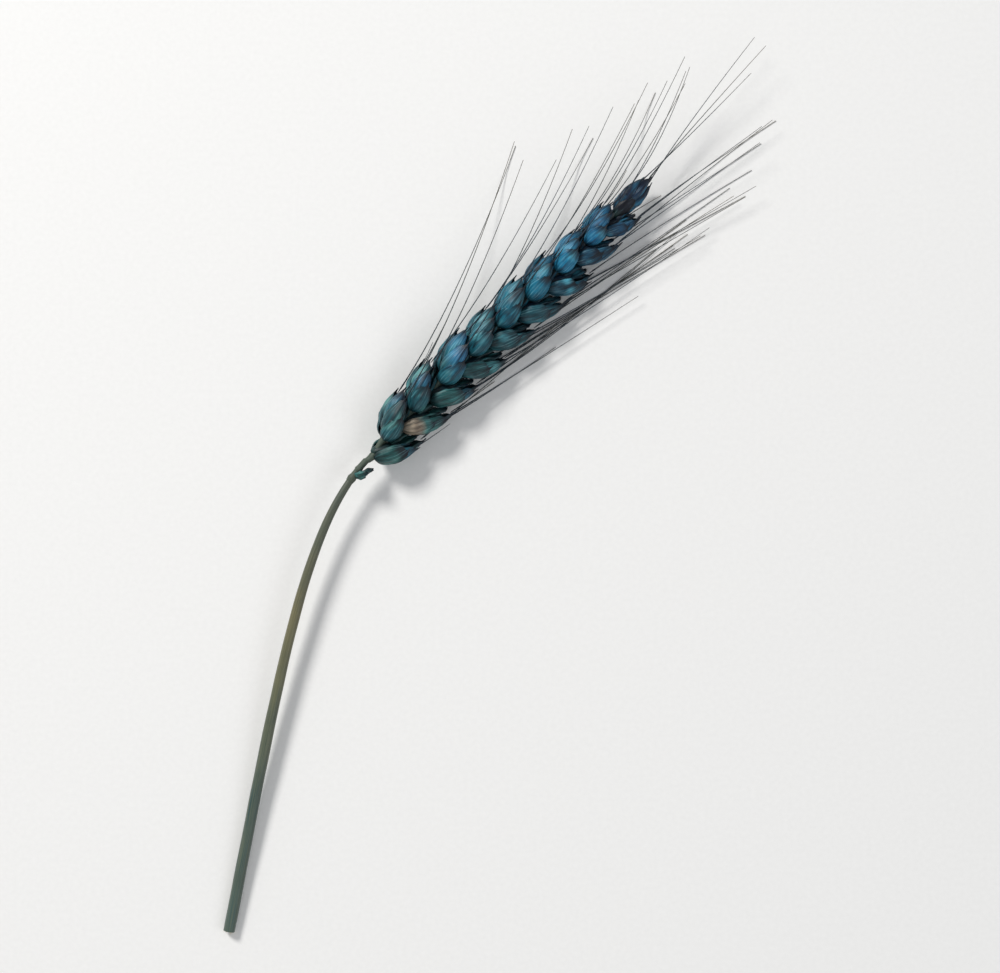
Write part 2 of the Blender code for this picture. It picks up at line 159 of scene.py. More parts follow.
# Husks as thin sheets: their grid, and their form in shares of their own width and length
HUSK_ACROSS = 39
HUSK_UP = 18
HUSK_WRAP = math.radians(112)
HUSK_STARTS_AT = 0.006
HUSK_THICKNESS = 0.09 * MM
HUSK_SHARP = 60
ROWS_CROWD = 1.35
NERVES = 6.5
NERVE_RELIEF = 0.018 * MM
NERVES_FADE = 2.5
RIDGE = 0.22 * MM
RIDGE_WIDTH = 0.07
RIDGE_STRAYS = 0.06
RIDGE_FADES = 1.6
PUCKER = 0.30 * MM
PUCKERS = (2.3, 4.2)
CREASE = 0.07 * MM
CREASES = (7.0, 11.0)
RIPPLE = 0.12 * MM
RIPPLE_TURN = 21
RIPPLE_FROM = 0.72

# The upper end of each kind of husk, and the beak on its keel
End = namedtuple("End", "reach shoulder curve slant beak torn")
ENDS = {
    GLUME: End(0.865, 0.12, 2.4, 0.03, 0.19, 1),
    LEMMA: End(0.90, 0.16, 1.8, 0, 0.10, 1),
    UPPER: End(0.93, 0.17, 2, 0, 0, 1),
    PALEA: End(0.94, 0.10, 2, 0, -0.05, 1),
    SCALE: End(0.86, 0.20, 2, 0, 0, 6),
}
BEAK_WIDTH = 0.12
BEAK_STRAYS = 0.10
BEAK_FROM = 0.78
BEAK_STANDS_OFF = 0.55 * MM
TORN_EDGE = 0.018
TEARS = 9
TEARS_SHIFT = 3.1

# How husks lie on each other
HUSK_GAP = 0.16 * MM
PUSH_REACH = 4 * MM
PUSH_MOST = 1.1 * MM
PUSH_EVENED = 4
PALEA_RISE = 1.2 * MM
PALEA_STANDS_OFF = 0.2 * MM
PALEA_LEAN = math.radians(5)

# What differs from husk to husk, and the husks that took more of the blue, or none, by spikelet and husk
PHASES = (0, 60)
LOPSIDED = (0.5, 1.2)
BRIGHT_CHANCE = 0.12
BRIGHT_CHANCE_SHARE = 0.25
BRIGHT_HUSKS = {(5, 0): 0.25, (5, 2): 0.75, (5, 4): 0.6, (3, 2): 0.4, (11, 4): 0.35}
UNDYED_HUSK = (2, 0)

# The dyes up the ear, from its foot at 0 to its tip at 1, and up the straw, from its cut to the ear. The
# right row's dye is greener and also darker as painted shade.
LEFT_ROW_DYE = (
    (0.0, "#1f5860"), (0.22, "#1e5c68"), (0.42, "#1c6474"), (0.6, "#13728b"),
    (0.8, "#127098"), (0.93, "#105a84"), (1.0, "#092743"),
)
# Right row: its own greener dye, darkened as painted shade for the side turned away from the light
RIGHT_ROW_DYE_AND_SHADE = ((0.0, "#1f5654"), (0.3, "#1c5253"), (0.6, "#154f5a"), (0.85, "#114c68"), (1.0, "#08223e"))
# Pooled dark dye, which also serves as painted shade at the husks' margins and on the stalks between them
POOLED_DYE_AND_SHADE = ((0.0, "#0d282a"), (0.35, "#0a2632"), (0.65, "#08233a"), (1.0, "#040e1e"))
# Pale washed-out colours: partly uneven dye, partly painted highlight
WASHED_DYE_AND_HIGHLIGHT = ((0.0, "#5c9a90"), (0.4, "#58a3ac"), (0.8, "#4fabc6"), (1.0, "#3a8cb2"))
RACHIS_DYE = ((0.0, "#2b3c38"), (0.10, "#22403c"), (0.5, "#1c3d44"), (1.0, "#132c4c"))
STRAW_DYE = (
    (0.0, "#35504f"), (0.30, "#304a49"), (0.52, "#565a45"),
    (0.74, "#635e43"), (0.88, "#444b41"), (1.0, "#2f3d3a"),
)
BRIGHT_DYE = "#267cb0"
# Near-black painted shade at each husk's foot, where the husks above cover it
PAINTED_FOOT_SHADE = "#06151c"
TIP_DYE = "#04101f"
STALK_DYE = "#22423e"
BARE_CHAFF = "#a99a86"
BARE_CHAFF_SHADED = "#7d6f60"

# Where the dyes, the painted shade and the painted highlight sit in a husk. A rule is a gain and an offset on
# the measure that a dye's share follows.
POOL_SPOTS = (1.1, 3.4)
WASH_AND_HIGHLIGHT_SPOTS = (1.6, 2.1)
WASH_AND_HIGHLIGHT_SHIFT = 7
POOLED_BY_TINT = (0.45, -0.05)
POOLED_IN_FOLDS = (1.5, -0.15)
# Painted shade: a dark band near each husk's margins, where it overlaps the next
PAINTED_SHADE_AT_MARGINS = (2.475, -1.76)
# Pale patches: partly uneven dye, partly painted highlight
WASHED_AND_HIGHLIGHT_PATCHES = (1.25, -0.08)
BRIGHT_UPWARDS = (2.6, -0.9)
# Painted shade at each husk's foot: darkest at the foot, gone a quarter of the way up
PAINTED_SHADE_AT_FOOT = (-3.57, 0.85)
# The stalks' own dye at their lowest end; above it they take the pooled colour as painted shade
STALK_DYED = (-3, 1)
BARE_SHADED_IN_FOLDS = (1.5, 0.4)
DYED_ABOVE_BARE = (3.8, -1.8)
BARE_EDGE_STRAYS = 0.8
TIP_DYE_FROM = 0.62
TIP_DYE_OVER = 0.24
TIP_DYE_SHARE = 0.94
TIP_DYE_STRAYS = 0.06

# Patterns in the materials, from real sizes in mm: a husk is about 12 long and 3.78 from keel to margin,
# and a stem 117 long and 4.42 half round. Fibres are drawn wider than the real 0.05, so that they show.
CHAFF_FIBRES = (3.78 / 0.09, 12 / 3, 1)
CHAFF_STREAKS = (3.78 / 0.9, 12 / 10, 1)
STEM_FIBRES = (4.42 / 0.13, 117 / 13, 1)
FIBRE_RELIEF = 0.06 * MM
STAIN_SIZE = 10.526 * MM
PITH_GRAIN = 0.5556 * MM
BOARD_TOOTH = 1.111 * MM

# The rachis: a section wider one way, ribbed, flared at each joint, with a collar above its round foot
RACHIS_STARTS = COLLAR - 0.7 * MM
RACHIS_RING_PITCH = 0.35 * MM
RACHIS_SIDES = 20
RACHIS_WIDE = 0.80
RACHIS_DEEP = 1.05
RACHIS_RIBS = 9
RACHIS_RIB = 0.03
JOINT_FLARE = 0.22
JOINT_FLARE_OVER = 0.14
JOINT_BELOW_FIRST = 0.4
COLLAR_SWELL = 0.20
COLLAR_SWELLS_AT = 0.4 * MM
COLLAR_SWELLS_OVER = 0.5 * MM
FOOT_NARROWS = 0.06
FOOT_NARROWS_OVER = 0.3 * MM
FOOT_ROUNDED_OVER = 1.4 * MM
FOOT_WIDER = 0.18
FOOT_SHALLOWER = 0.07

# Hairs in a fringe at each joint of the rachis, and bristles up the keels of the glumes
RACHIS_HAIRS = 26
RACHIS_HAIR_LENGTH = (0.6 * MM, 1.3 * MM)
RACHIS_HAIR_WIDTH = 0.025 * MM
RACHIS_HAIR_RING = 0.55 * MM
RACHIS_HAIR_BAND = 1.0 * MM
RACHIS_HAIR_LEAN = (0.4, 1.2)
RACHIS_HAIR_ALONG = 1.0
KEEL_BRISTLES = 16
KEEL_BRISTLES_SIT = (0.35, 0.95)
KEEL_BRISTLE_LENGTH = (0.25 * MM, 0.5 * MM)
KEEL_BRISTLE_WIDTH = 0.03 * MM
KEEL_BRISTLE_LEAN = 0.5
KEEL_BRISTLE_STRAYS = 0.3
KEEL_BRISTLE_ALONG = 0.6

# Awns at their real thickness, with barbs
AWN_RADIUS = 0.145 * MM
AWN_TIP_RADIUS = 0.06 * MM
AWN_THINNER_UP_EAR = 0.2
AWN_FLARE = 0.14 * MM
AWN_FLARE_OVER = 0.05
AWN_ROOT_LENGTH = 2.2 * MM
AWN_ROOT_POINT = 0.25
AWN_SIDES = 6
AWN_PIECES = 24
AWN_LOOK = 0.01
BARB_PITCH = 0.9 * MM
BARB_LENGTH = 0.34 * MM
BARB_WIDTH = 0.045 * MM
BARBS_FROM = 2
BARB_STRAYS = 0.3
BARB_LEAN = 0.35
BARB_SITS = 0.85

# The straw's skin, bore and torn fibres
STRAW_SIDES = 44
STRAW_RING_PITCH = 0.75 * MM
STRAW_SHARP = 40
STRAW_RIBS = 22
STRAW_RIB = 0.016
STRAW_RIBS_WANDER = 3
STRAW_RIBS_WANDER_OVER = 9 * MM
STRAW_FLAT_SIDES = 5
STRAW_SIDE = 0.01
STRAW_WAVE = 0.012
STRAW_WAVES_OVER = 6.5 * MM
STRAW_DENT = 0.014
STRAW_DENTS_OVER = 2.7 * MM
STRAW_DENTS_TURN = 2
BORE_RINGS_APART = 3
STRAW_FIBRES = 16
FIBRE_LENGTH = (0.3 * MM, 1.1 * MM)
FIBRE_WIDTH = 0.05 * MM
FIBRE_SITS = (0.66, 0.96)
FIBRE_SUNK = 0.1 * MM
FIBRE_LEAN = (-0.5, 0.3)
FIBRE_STRAYS = 0.3

# The studio: each lamp's place, width in metres, power in watts and colour
LAMPS = (
    ("key", (-0.75, 0.85, 0.95), 0.40, 18.0, (1.0, 0.98, 0.95)),
    ("fill", (1.00, -0.30, 1.10), 0.90, 3.6, (0.93, 0.96, 1.0)),
    ("low", (-0.10, -0.90, 0.50), 0.50, 1.6, (1.0, 0.97, 0.93)),
)
AIR_COLOUR = "#f4f6fa"
AIR_STRENGTH = 0.36
FLOOR_HALF = 4
FLOOR_DROP = 0.05 * MM
CAMERA_HEIGHT = 0.565
CAMERA_LENS = 85
CAMERA_SENSOR = 36
CAMERA_CLIP = 0.01


def heading(s):
    if s < 0:
        return EAR_HEADING + EAR_SWAY + STRAW_TURN * (1 - math.exp(s / STRAW_TURN_LENGTH))
    return EAR_HEADING + EAR_SWAY * math.cos(math.tau * EAR_SWAY_WAVES * s / RACHIS_LENGTH)


def height(s):
    fall = (EAR_HEIGHT_TIP - EAR_HEIGHT_FOOT) / RACHIS_LENGTH
    if s >= 0:
        return EAR_HEIGHT_FOOT + fall * s
    q = 1 + s / STRAW_LENGTH
    return (
        STRAW_HEIGHT_CUT * (1 + 2 * q) * (1 - q) ** 2
        + STRAW_SLOPE_CUT * STRAW_LENGTH * q * (1 - q) ** 2
        + EAR_HEIGHT_FOOT * q * q * (3 - 2 * q)
        + fall * STRAW_LENGTH * q * q * (q - 1)
    )


def middle_line():
    line = {0: NECK.copy()}
    for way, length in ((1, RACHIS_LENGTH), (-1, STRAW_LENGTH)):
        point = NECK.copy()
        for k in range(round(length / AXIS_STEP) + 3):
            turn = heading((k + 0.5) * way * AXIS_STEP)
            point = point + way * AXIS_STEP * Vector((math.cos(turn), math.sin(turn), 0))
            line[way * (k + 1)] = point
    return line


LINE = middle_line()


def axis_point(s):
    """Point on the plant's middle line, at s metres up from the neck."""
    k = math.floor(s / AXIS_STEP)
    point = LINE[k].lerp(LINE[k + 1], s / AXIS_STEP - k)
    return Vector((point.x, point.y, height(s)))


def axis_frame(s):
    along = (axis_point(s + AXIS_STEP / 2) - axis_point(s - AXIS_STEP / 2)).normalized()
    left = UP.cross(along).normalized()
    return axis_point(s), along, left, along.cross(left)


def rolled_frame(s):
    """The frame of the ear, whose rows are rolled about it, the left one turned up to face the eye."""
    point, along, left, front = axis_frame(s)
    roll = Matrix.Rotation(EAR_ROLL, 3, along)
    return point, along, roll @ left, roll @ front


def rachis_place(s):
    point, _, left, _ = rolled_frame(s)
    sway = RACHIS_ZIGZAG * math.cos(math.pi * (s - FIRST_NODE) / NODE_PITCH) if s > 0 else 0
    share = (s - COLLAR) / (RACHIS_LENGTH - COLLAR)
    return point - sway * left, RACHIS_RADIUS_COLLAR + (RACHIS_RADIUS_TIP - RACHIS_RADIUS_COLLAR) * share


def spikelet_size(share):
    swell = SIZE_SWELLS_FROM + (SIZE_SWELLS_TO - SIZE_SWELLS_FROM) * share
    return SIZE_LEAST + SIZE_SWELL * math.sin(math.pi * swell)


def lateral_spikelet(n, draw):
    s = FIRST_NODE + n * NODE_PITCH
    share = s / RACHIS_LENGTH
    side = 1 if n % 2 else -1
    point, along, left, _ = rolled_frame(s)
    spread = SPREAD[side] - SPREAD_CLOSES_BY * share * share + draw.uniform(-SPREAD_VARIES, SPREAD_VARIES)
    spread = math.radians(spread)
    twist = math.radians(draw.uniform(-TWIST_VARIES, TWIST_VARIES))
    out = Matrix.Rotation(twist, 3, along) @ (side * left)
    up = math.cos(spread) * along + math.sin(spread) * out
    out = (out - out.dot(up) * up).normalized()
    size = spikelet_size(share) * draw.uniform(1 - SIZE_VARIES, 1 + SIZE_VARIES)
    foot = point + RACHIS_ZIGZAG * side * left
    return Spikelet(foot, up, out, up.cross(out) * side, size, side, share)


def terminal_spikelet():
    point, along, left, front = rolled_frame(RACHIS_LENGTH)
    size = TERMINAL_SIZE * spikelet_size(1)
    return Spikelet(point - TERMINAL_DROP * front, along, front, left, size, 0, 1.0)


def husk_in(seat, spikelet, draw):
    closed = 1 if spikelet.side else TERMINAL_CLOSED
    faces = math.cos(seat.faces) * spikelet.out + math.sin(seat.faces) * spikelet.front
    lean = closed * seat.lean + math.radians(draw.uniform(-LEAN_VARIES, LEAN_VARIES))
    along = math.cos(lean) * spikelet.up + math.sin(lean) * faces
    back = math.cos(lean) * faces - math.sin(lean) * spikelet.up
    place = seat.rise * spikelet.up + closed * (seat.out * spikelet.out + seat.front * spikelet.front)
    size = spikelet.size * draw.uniform(1 - HUSK_SIZE_VARIES, 1 + HUSK_SIZE_VARIES)
    slim = 1 if spikelet.side else TERMINAL_SLIMNESS
    return Husk(seat.kind, size, slim, spikelet.foot + spikelet.size * place, along, back, back.cross(along))


def husk_middle(husk, t):
    kind = husk.kind
    return husk.foot + husk.size * (kind.length * t * husk.along + 4 * kind.bow * t * (1 - t) * husk.back)


def awn_on(husk, spikelet, draw):
    side, share = spikelet.side, spikelet.share
    _, along, left, front = axis_frame(share * RACHIS_LENGTH)
    leaves = (husk_middle(husk, 1) - husk_middle(husk, AWN_LEAVES_FROM)).normalized()
    swing = math.radians(draw.uniform(*AWN_SWING[side]) * (side or 1))
    raised = math.asin(max(-1, min(1, husk.back.dot(front))))
    lift = AWN_LIFT_FROM_BACK * raised + math.radians(draw.uniform(*AWN_LIFT))
    length = AWN_LENGTH_FOOT + (AWN_LENGTH_TIP - AWN_LENGTH_FOOT) * share
    length *= draw.uniform(*AWN_LENGTH_VARIES)
    if share < LOWEST_AWNS:
        length *= LOWEST_AWNS_SHARE
    fate = draw.random()
    if fate < AWN_SNAPPED:
        length *= AWN_STUMP
    if fate > 1 - AWN_LOST:
        return None
    foot = husk_middle(husk, AWN_ROOT)
    if raised < AWN_UNDERSIDE:
        drop = foot.z + AWN_KNEE * length * leaves.z + AWN_PRESSED
        lift = -math.asin(max(0, min(AWN_STEEPEST, drop / (length - AWN_KNEE * length))))
    bends = math.cos(lift) * (math.cos(swing) * along + math.sin(swing) * left) + math.sin(lift) * front
    return Awn(foot, leaves, bends, length, share)


def grow_ear():
    """The spikelets with their husks and awns, in the places that the part's solids give them."""
    draw = random.Random(SEED)
    spikelets = [lateral_spikelet(n, draw) for n in range(LATERAL_SPIKELETS)]
    spikelets.append(terminal_spikelet())
    grown = []
    for spikelet in spikelets:
        husks, awns = [], []
        for seat in SPIKELET:
            husks.append(husk_in(seat, spikelet, draw))
            awns.append(awn_on(husks[-1], spikelet, draw) if seat.awned else None)
        grown.append((spikelet, husks, awns))
    return grown


def soft_floor(point, least):
    """Lifts a point that would be under the floor, and eases those just above it."""
    over = (point.z - least) / FLOOR_SOFTNESS
    point.z = least + FLOOR_SOFTNESS * (max(over, 0) + math.log1p(math.exp(-abs(over))))
    return point


# Husks


def fullness(kind, t):
    peak = kind.fullest / (kind.fullest + kind.taper)
    top = peak**kind.fullest * (1 - peak) ** kind.taper
    t = max(0, min(1, t))
    return t**kind.fullest * (1 - t) ** kind.taper / top


def swell(place, middle, reach):
    """A soft hump of height 1: how much of it there is at a place."""
    return math.exp(-(((place - middle) / reach) ** 2))


def sheet_end(kind, u, wear):
    """How far up the husk its sheet reaches at u from margin to margin: shoulders, and a beak in between."""
    end = ENDS[kind]
    shoulder = end.shoulder * abs(u) ** end.curve - end.slant * wear.lopside * u
    beak = end.beak * swell(u, BEAK_STRAYS * wear.lopside, BEAK_WIDTH)
    torn = end.torn * TORN_EDGE * noise.noise(Vector((TEARS * u + wear.phase, wear.phase, TEARS_SHIFT)))
    return end.reach - shoulder + beak + torn


def sheet_point(husk, wear, u, v):
    """Point of a husk's sheet: u goes from margin to margin over the back, v from the foot to the tip."""
    kind, phase = husk.kind, wear.phase
    rise_up = 1 - (1 - v) ** ROWS_CROWD
    t = HUSK_STARTS_AT + (sheet_end(kind, u, wear) - HUSK_STARTS_AT) * rise_up
    full = fullness(kind, t)
    turn = math.pi / 2 - u * HUSK_WRAP
    across = 0.5 * kind.width * husk.slim * full * math.cos(turn)
    rise = math.sin(turn)
    keel = kind.keel * full * max(rise, 0) ** KEEL_SHARPNESS
    back = (kind.depth if rise > 0 else kind.inner) * full * rise + keel
    nerve = NERVE_RELIEF * math.cos(math.tau * NERVES * u) * min(1, NERVES_FADE * full)
    ridge = RIDGE * swell(u, RIDGE_STRAYS * wear.lopside, RIDGE_WIDTH) * min(1, RIDGE_FADES * t)
    pucker = PUCKER * full * noise.noise(Vector((PUCKERS[0] * u + phase, PUCKERS[1] * t, phase)))
    crease = CREASE * full * noise.noise(Vector((CREASES[0] * u - phase, CREASES[1] * t, phase)))
    ripple = RIPPLE * math.sin(RIPPLE_TURN * t + phase) * max(0, abs(u) - RIPPLE_FROM) / (1 - RIPPLE_FROM)
    lift = nerve + ridge + pucker + crease + ripple
    beak = BEAK_STANDS_OFF * max(0, (t - BEAK_FROM) / (1 - BEAK_FROM)) ** 2 * husk.back
    skin = (across + lift * math.cos(turn)) * husk.across + (back + lift * rise) * husk.back
    return husk_middle(husk, t) + husk.size * (beak + skin), t


def grid_rows(verts):
    """The grid's vertices by row, each from margin to margin, with their place in it."""
    us = sorted({round(vert.co.x, 5) for vert in verts})
    vs = sorted({round(vert.co.y, 5) for vert in verts})
    rows = [[None] * len(us) for _ in vs]
    for vert in verts:
        rows[vs.index(round(vert.co.y, 5))][us.index(round(vert.co.x, 5))] = vert
    return rows


def smooth_field(field, rounds):
    """Evens out a table of numbers over its rows and columns."""
    for _ in range(rounds):
        before = [row[:] for row in field]
        for j, row in enumerate(field):
            for i in range(len(row)):
                near = [before[j][k] for k in (i - 1, i + 1) if 0 <= k < len(row)]
                near += [before[k][i] for k in (j - 1, j + 1) if 0 <= k < len(field)]
                row[i] = max(before[j][i], 0.5 * before[j][i] + 0.5 * sum(near) / len(near))
    return field


def lay_over(points, back, under):
    """Lifts a husk's points off the husks that lie beneath it, so that it wraps them as a real one does."""
    lifts = []
    for row in points:
        lifts.append([])
        for point in row:
            lift = 0
            for tree in under:
                hit = tree.ray_cast(point + PUSH_REACH * back, -back, PUSH_REACH + HUSK_GAP)
                if hit[0] is not None:
                    lift = max(lift, (hit[0] - point).dot(back) + HUSK_GAP)
            lifts[-1].append(lift if lift < PUSH_MOST else 0)
    lifts = smooth_field(lifts, PUSH_EVENED)
    return [[point + lift * back for point, lift in zip(*pair)] for pair in zip(points, lifts)]


class Chaff:
    """A piece of chaff, which keeps each point's place on its husk, tint and dye for the material; the dye
    carries painted shade and painted highlight too.
    """

    def __init__(self):
        self.bm = bmesh.new()
        self.places = [self.bm.verts.layers.float.new(name) for name in ("across", "along", "tint")]
        self.dye = self.bm.verts.layers.float_color.new("dye")

    def mark(self, vert, place, dye):
        vert[self.dye] = (*dye, 1)
        for layer, value in zip(self.places, place):
            vert[layer] = value

    def add_husk(self, husk, wear, spikelet, under):
        """Adds a husk's sheet, laid over those under it, and gives its faces as a tree for the next ones."""
        made = bmesh.ops.create_grid(self.bm, x_segments=HUSK_ACROSS, y_segments=HUSK_UP, size=1)["verts"]
        rows = grid_rows(made)
        points, places = [], []
        for row in rows:
            spots = [sheet_point(husk, wear, vert.co.x, (vert.co.y + 1) / 2) for vert in row]
            points.append([spot[0] for spot in spots])
            places.append([(vert.co.x, spot[1]) for vert, spot in zip(row, spots)])
        points = lay_over(points, husk.back, under)
        for row, line, marks in zip(rows, points, places):
            for vert, point, (u, t) in zip(row, line, marks):
                vert.co = soft_floor(point, FLOOR_GAP)
                self.mark(vert, (u, t, wear.tint), chaff_dye_and_painted_light(spikelet, wear, u, t))
        self.bm.verts.index_update()
        first = made[0].index
        faces = {face for vert in made for face in vert.link_faces}
        corners = [tuple(vert.index - first for vert in face.verts) for face in faces]
        ordered = sorted(made, key=lambda vert: vert.index)
        return BVHTree.FromPolygons([vert.co.copy() for vert in ordered], corners)


def finish(name, bm, material, replaced="ear", sharp=SHARP):
    """Makes a piece of a bmesh, smooth but for its sharp edges, and ties it to the part."""
    for face in bm.faces:
        face.smooth = True
    mesh = bpy.data.meshes.new(name)
    bm.to_mesh(mesh)
    bm.free()
    mesh.set_sharp_from_angle(angle=math.radians(sharp))
    mesh.materials.append(material)
    piece = bpy.data.objects.new(name, mesh)
    bpy.context.scene.collection.objects.link(piece)
    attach(piece, "root")
    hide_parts(replaced)
    return piece


def finish_sheets(chaff, name, material):
    """Finishes a piece of husk sheets, with a wall of their thickness behind each."""
    piece = finish(name, chaff.bm, material)
    wall = piece.modifiers.new("wall", "SOLIDIFY")
    wall.thickness = HUSK_THICKNESS
    wall.offset = -1
    wall.use_rim = True
    bpy.context.view_layer.update()
    mesh = bpy.data.meshes.new_from_object(piece.evaluated_get(bpy.context.evaluated_depsgraph_get()))
    piece.modifiers.clear()
    piece.data = mesh
    mesh.set_sharp_from_angle(angle=math.radians(HUSK_SHARP))


# Dyes and materials


def linear(hexed):
    """A linear colour from its sRGB hex value."""
    channels = [int(hexed[k : k + 2], 16) / 255 for k in (1, 3, 5)]
    return (*((c / 12.92) if c <= 0.04045 else ((c + 0.055) / 1.055) ** 2.4 for c in channels), 1)


def blend(low, high, share):
    share = max(0, min(1, share))
    return tuple(a + (b - a) * share for a, b in zip(low[:3], high[:3]))


def between(stops, place):
    """The colour at a place on a row of (place, hex colour) stops."""
    for (start, low), (end, high) in zip(stops, stops[1:]):
        if place <= end:
            return blend(linear(low), linear(high), (place - start) / (end - start))
    return linear(stops[-1][1])[:3]


def by_rule(rule, value):
    """A dye's share, by its rule's gain and offset on the value that it follows."""
    gain, offset = rule
    return gain * value + offset


def chaff_dye_and_painted_light(spikelet, wear, u, t):
    """The colour in a husk: the dye by its place on the ear, with the right row darker as painted shade,
    pooled in folds, lightened in patches that are partly painted highlight, painted shade at the margins and
    foot, and the dark dye at the tip.
    """
    colour = between(RIGHT_ROW_DYE_AND_SHADE if spikelet.side < 0 else LEFT_ROW_DYE, spikelet.share)
    deep = between(POOLED_DYE_AND_SHADE, spikelet.share)
    washed_and_highlit = between(WASHED_DYE_AND_HIGHLIGHT, spikelet.share)
    phase = wear.phase
    pools = noise.noise(Vector((POOL_SPOTS[0] * u + phase, POOL_SPOTS[1] * t, phase)))
    wash_and_highlight_spots = noise.noise(Vector((WASH_AND_HIGHLIGHT_SPOTS[0] * u - phase, WASH_AND_HIGHLIGHT_SPOTS[1] * t, WASH_AND_HIGHLIGHT_SHIFT + phase)))
    colour = blend(colour, deep, by_rule(POOLED_BY_TINT, 1 - wear.tint))
    colour = blend(colour, deep, by_rule(POOLED_IN_FOLDS, pools))
    # Pale patches, partly uneven dye and partly painted highlight
    colour = blend(colour, washed_and_highlit, by_rule(WASHED_AND_HIGHLIGHT_PATCHES, wash_and_highlight_spots))
    colour = blend(colour, linear(BRIGHT_DYE), wear.bright * by_rule(BRIGHT_UPWARDS, t))
    if wear.undyed:
        bare = blend(linear(BARE_CHAFF), linear(BARE_CHAFF_SHADED), by_rule(BARE_SHADED_IN_FOLDS, pools))
        colour = blend(bare, colour, by_rule(DYED_ABOVE_BARE, t) + BARE_EDGE_STRAYS * wash_and_highlight_spots)
    # Painted shade: the margins darken towards the pooled colour
    colour = blend(colour, deep, by_rule(PAINTED_SHADE_AT_MARGINS, abs(u)))
    # Painted shade: each husk darkens to near-black at its foot, where its neighbours cover it
    colour = blend(colour, linear(PAINTED_FOOT_SHADE), by_rule(PAINTED_SHADE_AT_FOOT, t))
    navy = (t - TIP_DYE_FROM + TIP_DYE_STRAYS * pools) / TIP_DYE_OVER
    return blend(colour, linear(TIP_DYE), TIP_DYE_SHARE * navy)


def node(tree, kind, inputs=None, out=0, stops=(), **settings):
    """Adds a node with its settings, inputs by name or number and colour stops, and gives its output."""
    made = tree.nodes.new("ShaderNode" + kind)
    for name, value in settings.items():
        setattr(made, name, value)
    for name, value in (inputs or {}).items():
        if isinstance(value, bpy.types.NodeSocket):
            tree.links.new(value, made.inputs[name])
        else:
            made.inputs[name].default_value = value
    for k, (place, colour) in enumerate(stops):
        element = made.color_ramp.elements[k] if k < 2 else made.color_ramp.elements.new(place)
        element.position = place
        element.color = linear(colour)
    return made.outputs[out]


def new_material(name, roughness):
    made = bpy.data.materials.new(name)
    made.use_nodes = True
    shader = made.node_tree.nodes["Principled BSDF"]
    shader.inputs["Roughness"].default_value = roughness
    return made, made.node_tree, shader


def dyed_chaff():
    """Dry wheat chaff in a water dye: stiff ribbed paper with pale nerves that are partly painted highlight,
    dark streaks and a low gloss.
    """
    made, tree, shader = new_material("dyed_chaff", 0.50)
    # The dye attribute holds the dye together with painted shade and painted highlight
    dye = node(tree, "Attribute", attribute_name="dye")
    across = node(tree, "Attribute", out=2, attribute_name="across")
    along = node(tree, "Attribute", out=2, attribute_name="along")
    tint = node(tree, "Attribute", out=2, attribute_name="tint")
    own = node(tree, "Math", {0: tint, 1: 40}, operation="MULTIPLY")
    spot = node(tree, "CombineXYZ", {"X": across, "Y": along, "Z": own})
    broad = node(tree, "Mapping", {"Vector": spot, "Scale": CHAFF_STREAKS})
    broad = node(tree, "TexNoise", {"Vector": broad, "Scale": 1, "Detail": 3, "Roughness": 0.6})
    fibres = node(tree, "Mapping", {"Vector": spot, "Scale": CHAFF_FIBRES})
    fibres = node(tree, "TexNoise", {"Vector": fibres, "Scale": 1, "Detail": 3, "Roughness": 0.6})
    bent = node(tree, "Math", {0: broad, 1: 0.10, 2: across}, operation="MULTIPLY_ADD")
    wave = node(tree, "Math", {0: bent, 1: math.tau * NERVES}, operation="MULTIPLY")
    wave = node(tree, "Math", {0: wave}, operation="COSINE")
    nerve = node(tree, "Math", {0: wave, 1: 0.5, 2: 0.5}, operation="MULTIPLY_ADD")
    sharp = node(tree, "Math", {0: nerve, 1: 5}, operation="POWER")
    dark = node(tree, "Math", {0: broad, 1: 5.0, 2: -2.35}, operation="MULTIPLY_ADD", use_clamp=True)
    pale = node(tree, "Math", {0: broad, 1: -5.0, 2: 2.50}, operation="MULTIPLY_ADD", use_clamp=True)
    pale = node(tree, "Math", {0: pale, 1: sharp}, operation="MULTIPLY")
    lines = node(tree, "Math", {0: fibres, 1: 1.5, 2: 0.25}, operation="MULTIPLY_ADD")
    colour = node(tree, "Mix", {0: 1, 6: dye, 7: lines}, out=2, data_type="RGBA", blend_type="MULTIPLY")
    shade = {0: 1, 6: colour, 7: linear("#6e7c86")}
    deep = node(tree, "Mix", shade, out=2, data_type="RGBA", blend_type="MULTIPLY")
    colour = node(tree, "Mix", {0: dark, 6: colour, 7: deep}, out=2, data_type="RGBA")
    # Pale nerve lines: partly the paler nerves, partly painted highlight added onto the colour
    shine = {0: 1, 6: colour, 7: linear("#5f8084")}
    light = node(tree, "Mix", shine, out=2, data_type="RGBA", blend_type="ADD")
    colour = node(tree, "Mix", {0: pale, 6: colour, 7: light}, out=2, data_type="RGBA")
    tree.links.new(colour, shader.inputs["Base Color"])
    relief = node(tree, "Math", {0: nerve, 1: 0.7, 2: fibres}, operation="MULTIPLY_ADD")
    bump = node(tree, "Bump", {"Height": relief, "Strength": 0.6, "Distance": FIBRE_RELIEF})
    tree.links.new(bump, shader.inputs["Normal"])
    rough = node(tree, "Math", {0: broad, 1: 0.30, 2: 0.30}, operation="MULTIPLY_ADD")
    tree.links.new(rough, shader.inputs["Roughness"])
    shader.inputs["Specular IOR Level"].default_value = 0.36
    return made


